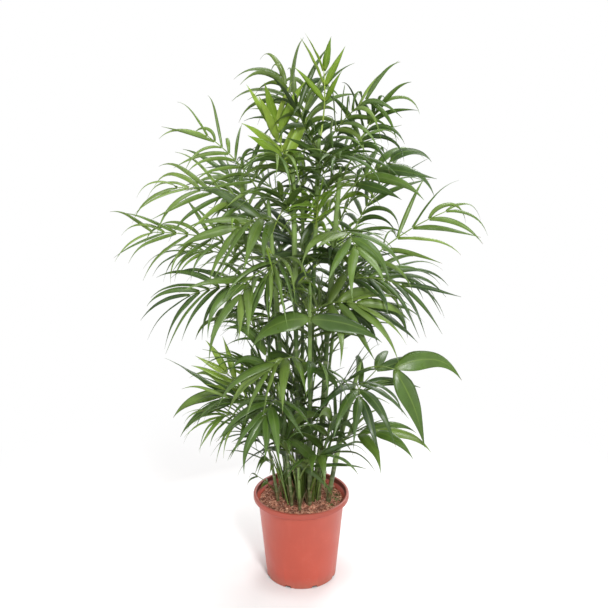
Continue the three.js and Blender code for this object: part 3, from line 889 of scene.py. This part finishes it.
def grow_frond(crowd, start, heading, slope, span, arch, kind, roll, chance):
    """A frond's stalk and leaflets, or None where its stalk has no way out."""
    kind = INNER_KINDS[kind]
    begin = min(slope + arch / 2, STEEPEST)
    end = 2 * slope - begin
    length = span * MM / math.cos(math.radians((begin - end) / 2))
    for turn in TURNS:
        first, last = way(heading + turn, begin), way(heading + turn, end)
        line = [bend(start, first, last, length, i / 12) for i in range(13)]
        if crowd.is_clear([p for p in line if (p - start).length > 14 * MM], STALK_CLEARANCE):
            break
    else:
        return None
    crowd.add(line[2:])
    sideways = way(heading + turn - 90, 0)
    leaflets = []
    for pair in range(kind["pairs"]):
        up = pair / (kind["pairs"] - 1)
        t = lerp(kind["bare"], 0.985, up)
        root = bend(start, first, last, length, t)
        ahead = bend(start, first, last, length, t + 0.01)
        along = (ahead - bend(start, first, last, length, t - 0.01)).normalized()
        face = sideways.cross(along).normalized()
        spin = Matrix.Rotation(math.radians(roll), 3, along)
        axes = (along, spin @ sideways, spin @ face)
        swell = 0.72 + 0.28 * math.sin(math.pi * (0.15 + 0.75 * up))
        for side in (1, -1):
            leaf_length = kind["length"] * MM * swell * chance.uniform(0.9, 1.1)
            leaf_width = kind["width"] * MM * (0.8 + 0.2 * swell) * chance.uniform(0.88, 1.12)
            spread = lerp(*kind["sweep"], up) + chance.uniform(-5, 5)
            lift = kind["lift"] + chance.uniform(-8, 8)
            droop = kind["droop"] * chance.uniform(0.6, 1.4)
            roll_leaf = chance.uniform(-30, 30)
            leaflet = lay_leaflet(
                crowd, root, axes, side, (spread, lift, droop, roll_leaf), leaf_length, leaf_width
            )
            if leaflet:
                leaflets.append(leaflet)
    last_step = len(line) - 1
    path = [(p, lerp(*INNER_STALK, i / last_step)) for i, p in enumerate(line)]
    return {"path": path, "leaflets": leaflets}


def lay_leaflet(crowd, root, axes, side, angles, length, width):
    """The first of some turned and shortened leaflets that is clear of its neighbours."""
    spread, lift, droop, roll = angles
    for share in (1.0, 0.75, 0.5):
        for more_spread, more_lift in ((0, 0), (0, 18), (14, 0), (0, -18), (-14, 0), (14, 30)):
            leaflet = shape_leaflet(
                root, axes, side, (max(12, spread + more_spread), lift + more_lift, droop, roll),
                length * share, width * math.sqrt(share),
            )
            if crowd.take(leaflet, LEAFLET_CLEARANCE):
                return leaflet
    return None


def on_cane(cane, share):
    """A place on a cane's line, by its share of the height over the potting mix."""
    z = lerp(SOIL_TOP, cane[-1][0].z, share)
    for (low, _), (high, _) in zip(cane, cane[1:]):
        if z <= high.z:
            return low.lerp(high, (z - low.z) / (high.z - low.z))
    return cane[-1][0].copy()


GOLDEN_ANGLE = 137.5
FILLED_FROM = 0.4  # how high a cane stands over the mix before it has inner fronds
INNER_SPACING = 150 * MM
INNER_PLACES = (0.5, 0.97)  # shares of the cane's height, of the lowest and the highest
INNER_RISES = (10, 58)  # degrees over the horizon, of the lowest and the highest
INNER_SPANS = (65, 140)  # millimetres, as are the lengths and widths below
INNER_ARCHES = (35, 75)
NEW_ABOVE = 0.6  # the share of a cane's height over which some inner fronds are new ones
NEW_SHARE = 0.3
SHOOTS = 34
SHOOT_SPREAD = 40 * MM  # how far from the middle the outermost shoots come up
SHOOT_HEIGHTS = (340, 90)  # from the middle of the clump outwards, as the next two are
SHOOT_RADII = (2.6, 1.6)
SHOOT_RISES = (84, 70)
SEEDLING_PLACE = Vector((-52, 12, 0)) * MM
HUSKS_PER_CANE = 4
HUSK_LENGTHS, HUSK_WIDTHS = (24, 52), (6, 10)
SPEARS = 110
SPEAR_SPREAD = 38 * MM
SPEAR_CLEARANCE = 1.6 * MM
SPEAR_RISES = (76, 88)
SPEAR_LENGTHS, SPEAR_WIDTHS = (80, 210), (5, 9)
crowd = Crowd(CANES + FRONDS)


def fill_cane(node):
    """The short inner fronds of one cane, wound round it from low to high."""
    cane = read_cane(node)
    chance = random.Random(node + " inner")
    rise = cane[-1][0].z - SOIL_TOP
    if rise < FILLED_FROM:
        return
    count = round(rise / INNER_SPACING)
    bm, layers = new_layered(LEAF_VALUES)
    outward = math.degrees(math.atan2(cane[-1][0].y, cane[-1][0].x))
    for i in range(count):
        share = lerp(*INNER_PLACES, (i + chance.uniform(0.2, 0.8)) / count)
        heading = outward + GOLDEN_ANGLE * i + chance.uniform(-20, 20)
        slope = lerp(*INNER_RISES, share) + chance.uniform(-12, 12)
        kind = chance.choice(("feather", "narrow", "wide", "broad"))
        frond = grow_frond(
            crowd, on_cane(cane, share), heading, slope, chance.uniform(*INNER_SPANS),
            chance.uniform(*INNER_ARCHES), kind, chance.uniform(-40, 40), chance,
        )
        if frond:
            look = {"tint": chance.uniform(0.1, 0.9), "dries": True, "curl": 1.0}
            is_new = share > NEW_ABOVE and chance.random() < NEW_SHARE
            bed, bed_layers = (new_leaves, new_layers) if is_new else (bm, layers)
            add_grown(bed, bed_layers, frond, look, chance)
    finish_piece(node + "_inner_leaves", bm, LEAF, "leaf")


new_leaves, new_layers = new_layered(LEAF_VALUES)
for node in CANES:
    fill_cane(node)
finish_piece("new_inner_leaves", new_leaves, YOUNG_LEAF, "young_leaf")


def add_shoots():
    """Thin young shoots that crowd the middle of the pot, each with a few upright leaves."""
    chance = random.Random("young shoots")
    stems, stem_layers = new_layered(CANE_VALUES)
    bm, layers = new_layered(LEAF_VALUES)
    for i in range(SHOOTS):
        heading = GOLDEN_ANGLE * i + chance.uniform(-15, 15)
        out = SHOOT_SPREAD * math.sqrt((i + 0.5) / SHOOTS)
        foot = way(heading, 0) * out + UP * (SOIL_TOP - 8 * MM)
        height = lerp(*SHOOT_HEIGHTS, i / SHOOTS) * MM * chance.uniform(0.8, 1.15)
        radius = lerp(*SHOOT_RADII, i / SHOOTS) * MM
        lean = way(heading + chance.uniform(-30, 30), lerp(*SHOOT_RISES, i / SHOOTS))
        line = [
            (bend(foot, (lean + UP).normalized(), lean, height, k / 14),
             radius * lerp(1.0, 0.55, k / 14)) for k in range(15)
        ]
        if not crowd.is_clear([p for p, _ in line[2:]], radius + 1.5 * MM):
            continue
        crowd.add([p for p, _ in smooth_line(line, 6 * MM)])

        def mark(verts, step):
            for v in verts:
                v[stem_layers["height"]] = 0.35 + 0.4 * step / len(line)
                v[stem_layers["sheath"]] = 1.0

        sweep(stems, line, 10, mark)
        for k in range(chance.choice((0, 1, 2)) if i > SHOOTS // 3 else 2):
            at = line[-1 - 4 * k][0]
            frond = grow_frond(
                crowd, at, heading + 150 * k + chance.uniform(-40, 40),
                chance.uniform(48, 74), chance.uniform(60, 110), chance.uniform(20, 50),
                chance.choice(("tuft", "tuft", "narrow")), chance.uniform(-30, 30), chance,
            )
            if frond:
                look = {"tint": chance.uniform(0.4, 0.95), "dries": False, "curl": 0.7}
                add_grown(bm, layers, frond, look, chance)
    finish_piece("young_shoot_stems", stems, CANE, "cane")
    finish_piece("young_shoot_leaves", bm, LEAF, "leaf")


add_shoots()


def add_seedling():
    """A small curled seedling that leans out over the left of the lip."""
    chance = random.Random("seedling")
    bm, layers = new_layered(LEAF_VALUES)
    look = {"tint": 0.55, "dries": False, "curl": 1.0}
    foot = SEEDLING_PLACE + UP * (SOIL_TOP - 4 * MM)
    frond = grow_frond(crowd, foot, 172, 46, 66, 70, "seedling", 0, chance)
    add_grown(bm, layers, frond, look, chance)
    finish_piece("rim_seedling", bm, LEAF, "leaf")


add_seedling()


def add_husks():
    """Dry papery sheaths of fallen leaves, standing up round the feet of the canes."""
    chance = random.Random("husks")
    bm, layers = new_layered(LEAF_VALUES)
    for node in CANES:
        cane = read_cane(node)
        for k in range(HUSKS_PER_CANE):
            root = on_cane(cane, chance.uniform(0.002, 0.06))
            heading = GOLDEN_ANGLE * k + chance.uniform(0, 90)
            axes = (UP, way(heading + 90, 0), way(heading, 0))
            husk = shape_leaflet(
                root + axes[2] * cane[0][1] * 0.8, axes, 1, (8, chance.uniform(4, 20), 0.1, 0),
                chance.uniform(*HUSK_LENGTHS) * MM, chance.uniform(*HUSK_WIDTHS) * MM,
            )
            add_leaflet(bm, layers, husk, {"tint": 0.5, "dries": False, "curl": 1.0}, chance)
    finish_piece("dry_sheaths", bm, DRY_SHEATH, "cane")


add_husks()


def add_spears():
    """Narrow blades that stand up out of the mix in the thick of the clump."""
    chance = random.Random("spears")
    bm, layers = new_layered(LEAF_VALUES)
    for i in range(SPEARS):
        heading, out = GOLDEN_ANGLE * i, SPEAR_SPREAD * math.sqrt(i / SPEARS)
        root = way(heading, 0) * out + way(70, 0) * 8 * MM + UP * (SOIL_TOP - 3 * MM)
        steep = chance.uniform(*SPEAR_RISES)
        axes = (way(heading, steep), way(heading + 90, 0), way(heading, steep - 90))
        spear = shape_leaflet(
            root, axes, 1, (0, 0, chance.uniform(0.0, 0.14), chance.uniform(-60, 60)),
            chance.uniform(*SPEAR_LENGTHS) * MM, chance.uniform(*SPEAR_WIDTHS) * MM,
        )
        if crowd.take(spear, SPEAR_CLEARANCE):
            look = {"tint": chance.uniform(0.45, 1.0), "dries": True, "curl": 0.6}
            add_leaflet(bm, layers, spear, look, chance)
    finish_piece("young_spears", bm, LEAF, "leaf")


add_spears()

# ---- Canes ----


def add_cane(node):
    """A smooth cane with swollen ring scars, and worn sheaths below each of its fronds."""
    cane = read_cane(node)
    chance = random.Random(node)
    number = node.split("_")[1]
    head = cane[-1][0].z
    joints = sorted(
        read_frond(frond)["path"][0][0].z for frond in FRONDS
        if frond.startswith("frond_" + number)
    )
    joints = [z for z in joints if z > SOIL_TOP + 60 * MM]
    line = [(p, r * 0.99) for p, r in smooth_line(cane, CANE_STEP)]
    line = [(p, r) for p, r in line if p.z > SOIL_TOP - CANE_BURIED]
    scars, z = [], SOIL_TOP + 8 * MM
    while z < head:
        scars.append(z)
        z += lerp(16 * MM, 52 * MM, ease((z - SOIL_TOP) / 0.5)) * chance.uniform(0.8, 1.25)
    first_sheath = joints[0] - 55 * MM if joints else head
    dressed, marks = [], []
    for place, radius in line:
        near = min((abs(place.z - scar) for scar in scars), default=1)
        scar = math.exp(-((near / (1.5 * MM)) ** 2)) if place.z < first_sheath else 0.0
        above = [z - place.z for z in joints if z > place.z - 4 * MM]
        sheath = ease((place.z - first_sheath) / (6 * MM))
        # Each sheath stands proud of the next one up, and ends in a lip at its frond.
        wrap = sheath * (0.10 + 0.05 * len(above))
        if above and above[0] < 9 * MM:
            wrap += 0.10 * sheath * ease(1 - abs(above[0]) / (9 * MM))
        dressed.append((place, radius * (1 + 0.07 * scar + wrap)))
        marks.append((clamp((place.z - SOIL_TOP) / (head - SOIL_TOP)), scar, sheath))
    # The newest leaf, still rolled, closes the top.
    top, radius = dressed[-1]
    along = (dressed[-1][0] - dressed[-3][0]).normalized()
    for share, size in ((0.25, 0.8), (0.55, 0.55), (0.85, 0.3), (1.0, 0.06)):
        dressed.append((top + along * 16 * MM * share, radius * size))
        marks.append((1.0, 0.0, 1.0))
    bm, layers = new_layered(CANE_VALUES)

    def mark(verts, step):
        for v in verts:
            for layer, value in zip(layers.values(), marks[step]):
                v[layer] = value

    sweep(bm, dressed, CANE_SIDES, mark)
    finish_piece(node + "_stem", bm, CANE, SLOTS[node], [node])


for node in CANES:
    add_cane(node)

# ---- Pot ----


def add_pot():
    rim, _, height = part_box("pot")[1]
    mouth = rim - POT_LIP_WIDTH
    lip = height - POT_LIP_HEIGHT
    shoulder = lip - POT_SHOULDER
    slope = (POT_SHOULDER_RADIUS - POT_FOOT_RADIUS) / shoulder

    def wall(z):
        return POT_FOOT_RADIUS + slope * z

    channel_in, channel_out = POT_CHANNEL
    floor = POT_CHANNEL_HEIGHT + POT_WALL
    outline = [
        (0, 0), (channel_in, 0), (channel_in + 2 * MM, POT_CHANNEL_HEIGHT),
        (channel_out, POT_CHANNEL_HEIGHT), (channel_out + 1.6 * MM, 0),
        (POT_FOOT_RADIUS - 1.6 * MM, 0), (POT_FOOT_RADIUS - 0.5 * MM, 0.4 * MM),
        (wall(1.6 * MM), 1.6 * MM), (wall(shoulder * 0.5), shoulder * 0.5),
        (wall(shoulder) - 0.2 * MM, shoulder - 1 * MM),
        (wall(shoulder) + 0.6 * MM, shoulder + 0.5 * MM),
        (mouth + POT_WALL, lip - 1.2 * MM), (mouth + POT_WALL + 1.0 * MM, lip),
        (rim - 1.2 * MM, lip), (rim - 0.3 * MM, lip + 0.4 * MM), (rim, lip + 1.4 * MM),
        (rim - 0.2 * MM, height - 2.4 * MM), (rim - 0.8 * MM, height - 0.9 * MM),
        (rim - 2.0 * MM, height - 0.1 * MM), (rim - 3.4 * MM, height),
        (mouth + 1.4 * MM, height), (mouth + 0.4 * MM, height - 0.4 * MM),
        (mouth, height - 1.4 * MM), (mouth, lip + 0.6 * MM),
        (mouth - 0.8 * MM, lip - 0.6 * MM),
        (wall(shoulder) - POT_WALL + 0.6 * MM, shoulder + 1.4 * MM),
        (wall(shoulder) - POT_WALL, shoulder), (wall(shoulder * 0.5) - POT_WALL, shoulder * 0.5),
        (wall(floor) - POT_WALL, floor), (wall(POT_WALL) - POT_WALL - 0.8 * MM, POT_WALL),
        (channel_out + 3.2 * MM, POT_WALL), (channel_out + 1 * MM, floor),
        (channel_in + 1 * MM, floor), (channel_in - 1 * MM, POT_WALL),
        (0, POT_WALL),
    ]
    bm = bmesh.new()
    verts = [bm.verts.new((r, 0, z)) for r, z in outline]
    edges = [bm.edges.new(pair) for pair in zip(verts, verts[1:])]
    bmesh.ops.spin(
        bm, geom=verts + edges, cent=(0, 0, 0), axis=(0, 0, 1), dvec=(0, 0, 0),
        angle=2 * math.pi, steps=POT_SIDES, use_merge=True,
    )
    bmesh.ops.remove_doubles(bm, verts=bm.verts, dist=0.01 * MM)
    pot = finish_piece("nursery_pot", bm, PLASTIC, "pot_plastic", ["pot"])
    cutters = bmesh.new()
    for i in range(POT_NOTCHES):
        turn = Matrix.Rotation(2 * math.pi * (i + 0.5) / POT_NOTCHES, 4, "Z")
        notch = Matrix.LocRotScale(Vector((POT_FOOT_RADIUS + 1 * MM, 0, 0)), None, NOTCH_SIZE)
        bmesh.ops.create_cube(cutters, size=1, matrix=turn @ notch)
        # Half a side's turn keeps the hole's corners off the edges of the base.
        hole = Matrix.Rotation(math.pi / HOLE_SIDES, 4, "Z")
        hole.translation = DRAIN_HOLE_PLACE
        bmesh.ops.create_cone(
            cutters, cap_ends=True, segments=HOLE_SIDES, radius1=DRAIN_HOLE_RADIUS,
            radius2=DRAIN_HOLE_RADIUS, depth=6 * MM, matrix=turn @ hole,
        )
    cuts = from_bmesh("drain_cuts", cutters)
    boolean = pot.modifiers.new("drains", "BOOLEAN")
    boolean.operation, boolean.object, boolean.solver = "DIFFERENCE", cuts, "EXACT"
    bake_modifiers(pot)
    bpy.data.objects.remove(cuts)
    pot.data.set_sharp_from_angle(angle=math.radians(SHARP_CORNER))


def bake_modifiers(piece):
    """Swaps a piece's mesh for the one that its modifiers make."""
    graph = bpy.context.evaluated_depsgraph_get()
    made = bpy.data.meshes.new_from_object(piece.evaluated_get(graph))
    piece.modifiers.clear()
    piece.data = made


add_pot()

# ---- Potting mix ----
SOIL_EDGE = SOIL_TOP - 2.5 * MM
SOIL_CROWN = 5 * MM
SOIL_CELLS = 110  # along each side of the grid that the surface is cut from
SOIL_SKIRT = 12 * MM  # how deep the edge goes down inside the pot
CHIPS = 2600
FIBRES = 420
FIBRE_RADIUS = 0.17 * MM
MOSS_CUSHIONS = 110
MOSS_PATCHES = ((76, -6), (66, -30), (80, 14), (70, 30))


def soil_height(x, y):
    """The lumpy surface of the mix, standing a little proud towards the middle."""
    out = clamp(math.hypot(x, y) / SOIL_RADIUS)
    lumps = noise.fractal(Vector((x, y, 0)) * 48, 0.9, 2.1, 3) * 3.4 * MM
    grit = noise.noise(Vector((x, y, 3)) * 260) * 0.8 * MM
    return SOIL_EDGE + SOIL_CROWN * (1 - out * out) * 0.8 + lumps + grit - 1.0 * MM


def add_soil():
    bm = bmesh.new()
    bmesh.ops.create_grid(
        bm, x_segments=SOIL_CELLS, y_segments=SOIL_CELLS, size=SOIL_RADIUS * 1.02
    )
    reach = SOIL_RADIUS + 0.2 * MM
    outside = [f for f in bm.faces if f.calc_center_median().xy.length > reach - 0.8 * MM]
    bmesh.ops.delete(bm, geom=outside, context="FACES")
    for v in bm.verts:
        if v.is_boundary:
            v.co.xy = v.co.xy.normalized() * reach
        v.co.z = soil_height(v.co.x, v.co.y)
    rim = [e for e in bm.edges if e.is_boundary]
    made = bmesh.ops.extrude_edge_only(bm, edges=rim)
    skirt = [g for g in made["geom"] if isinstance(g, bmesh.types.BMVert)]
    for v in skirt:
        v.co.z = SOIL_EDGE - SOIL_SKIRT
        v.co.xy *= 0.985
    bmesh.ops.contextual_create(bm, geom=[e for e in bm.edges if e.is_boundary])
    finish_piece("peat_surface", bm, PEAT, "potting_mix", ["potting_mix"])


add_soil()


def scatter(chance):
    """A place on the mix, spread evenly, clear of the wall."""
    while True:
        x, y = chance.uniform(-1, 1), chance.uniform(-1, 1)
        if math.hypot(x, y) < 0.985:
            return x * SOIL_RADIUS, y * SOIL_RADIUS


def add_lump(bm, matrix, radius, grain, size, jog):
    """A small ball with its corners pushed about, by a share of its size."""
    made = bmesh.ops.create_icosphere(bm, subdivisions=1, radius=radius, matrix=matrix)
    for v in made["verts"]:
        v.co += noise.noise_vector(v.co * grain) * size * jog


def add_chips():
    """Loose crumbs and chips of coir husk on top of the mix."""
    chance = random.Random("coir chips")
    bm = bmesh.new()
    for _ in range(CHIPS):
        x, y = scatter(chance)
        size = min(9.0, chance.lognormvariate(0.75, 0.5)) * MM
        spin = Matrix.Rotation(chance.uniform(0, 6.28), 4, "Z")
        tip = Matrix.Rotation(chance.gauss(0, 0.5), 4, "X")
        scale = Matrix.Diagonal((size, size * chance.uniform(0.35, 0.8),
                                 size * chance.uniform(0.2, 0.45), 1))
        place = Matrix.Translation((x, y, soil_height(x, y) + size * 0.12))
        add_lump(bm, place @ spin @ tip @ scale, 0.55, 900, size, 0.22)
    chips = finish_piece("coir_chips", bm, COIR, "potting_mix")
    set_smooth(chips, False)


add_chips()


def add_fibres():
    """Fine husk fibres lying across the mix."""
    chance = random.Random("coir fibres")
    bm = bmesh.new()
    for _ in range(FIBRES):
        x, y = scatter(chance)
        heading, curve = chance.uniform(0, 6.28), chance.gauss(0, 22)
        length = chance.uniform(9, 26) * MM
        line = []
        for i in range(7):
            s = i / 6
            angle = heading + curve * length * (s - 0.5) * 2
            x += math.cos(angle) * length / 6
            y += math.sin(angle) * length / 6
            if math.hypot(x, y) > SOIL_RADIUS * 0.98:
                break
            lift = 1.0 * MM + 1.6 * MM * math.sin(math.pi * s)
            line.append((Vector((x, y, soil_height(x, y) + lift)), FIBRE_RADIUS))
        if len(line) > 3:
            sweep(bm, line, 4)
    finish_piece("coir_fibres", bm, COIR, "potting_mix")


add_fibres()


def add_moss():
    """Small cushions of moss in patches along the right of the mix."""
    chance = random.Random("moss")
    bm = bmesh.new()
    for _ in range(MOSS_CUSHIONS):
        x, y = chance.choice(MOSS_PATCHES)
        x, y = chance.gauss(x, 5) * MM, chance.gauss(y, 5) * MM
        if math.hypot(x, y) < SOIL_RADIUS * 0.97:
            size = chance.uniform(1.0, 3.0) * MM
            place = Matrix.Translation((x, y, soil_height(x, y) + 1.4 * MM))
            scale = Matrix.Diagonal((size, size, size * 0.7, 1))
            add_lump(bm, place @ scale, 0.6, 1500, size, 0.4)
    finish_piece("moss_cushions", bm, MOSS, "potting_mix")


add_moss()

# ---- Floor, light and camera ----
FLOOR_FADE = (0.4, 1.0)  # where the floor turns into the white of the room
PAINTED_SHADOW_UNDER_POT = (78 * MM, 68 * MM)  # painted shadow on the floor under the foot, from its edge inwards
FLOOR_GLOW = (76 * MM, 140 * MM)


def add_floor():
    bm = bmesh.new()
    bmesh.ops.create_circle(bm, cap_ends=True, segments=96, radius=3)
    floor = from_bmesh("floor", bm)
    material, nodes = new_material("studio_floor")
    away = nodes.add("VectorMath", {0: nodes.place()}, operation="LENGTH").outputs["Value"]
    fade = nodes.remap(away, *FLOOR_FADE)
    tone = nodes.mix(fade, (0.85, 0.84, 0.84, 1), (0, 0, 0, 1))
    # Painted shadow: the floor is darkened under the pot's foot.
    tone = nodes.mix(nodes.remap(away, *PAINTED_SHADOW_UNDER_POT, 0.0, 0.85), tone, (0.05, 0.03, 0.03, 1))
    near = nodes.remap(away, *FLOOR_GLOW, 0.0, 0.14)
    glow = nodes.math("MAXIMUM", near, fade)
    nodes.surface({
        "Base Color": tone, "Roughness": 1.0, "Specular IOR Level": 0.0,
        "Emission Color": (1, 1, 1, 1), "Emission Strength": glow,
    })
    floor.data.materials.append(material)
    floor.location.z = -0.5 * MM
    floor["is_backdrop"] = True


def add_light(name, place, aim, size, power):
    light = bpy.data.lights.new(name, "AREA")
    light.shape, light.size, light.energy = "SQUARE", size, power
    lamp = new_object(name, light)
    lamp.location = place
    way_out = Vector((0, 0, aim)) - Vector(place)
    lamp.rotation_euler = way_out.to_track_quat("-Z", "Y").to_euler()


def add_surroundings():
    """A white room: bright behind the plant, softer where it lights the leaves."""
    world = bpy.data.worlds.new("studio")
    world.use_nodes = True
    bpy.context.scene.world = world
    nodes = Nodes(world.node_tree)
    path = nodes.add("LightPath").outputs
    gloss = nodes.times(path["Is Glossy Ray"], 0.7)
    seen = nodes.math("MAXIMUM", path["Is Camera Ray"], gloss)
    soft = nodes.add("Background", {0: (1, 1, 1, 1), 1: AMBIENT})
    white = nodes.add("Background", {0: (1, 1, 1, 1), 1: 1.0})
    mixed = nodes.add("MixShader", {0: seen, 1: soft.outputs[0], 2: white.outputs[0]})
    nodes.add("OutputWorld", {0: mixed.outputs[0]})


AMBIENT = 0.4
LIGHTS = (
    # name, place, height on the plant's axis that it points at, size, watts
    ("key", (0.75, -2.7, 2.4), 0.6, 0.6, 84),
    ("right_fill", (2.4, 0.4, 1.5), 0.6, 1.4, 14),
    ("left_fill", (-2.5, -1.2, 1.6), 0.6, 1.4, 18),
    ("back", (0.9, 2.4, 2.0), 0.6, 1.4, 36),
    ("top", (0.2, 0.3, 3.0), 0.5, 1.2, 34),
)
CAMERA_PLACE = (0.0061, -2.5, 1.5616)
CAMERA_DOWN = 20.235  # degrees below the horizon
CAMERA_LENS = 75.74

add_floor()
for light in LIGHTS:
    add_light(*light)
add_surroundings()

bpy.context.scene.view_settings.view_transform = "Standard"

camera_data = bpy.data.cameras.new("camera")
camera_data.sensor_width = 36
camera_data.lens = CAMERA_LENS
camera = new_object("camera", camera_data)
camera.location = CAMERA_PLACE
camera.rotation_euler = (math.radians(90 - CAMERA_DOWN), 0, 0)
bpy.context.scene.camera = camera

boxes = [[list(map(float, corner)) for corner in box] for box in (solid_bounds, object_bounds())]
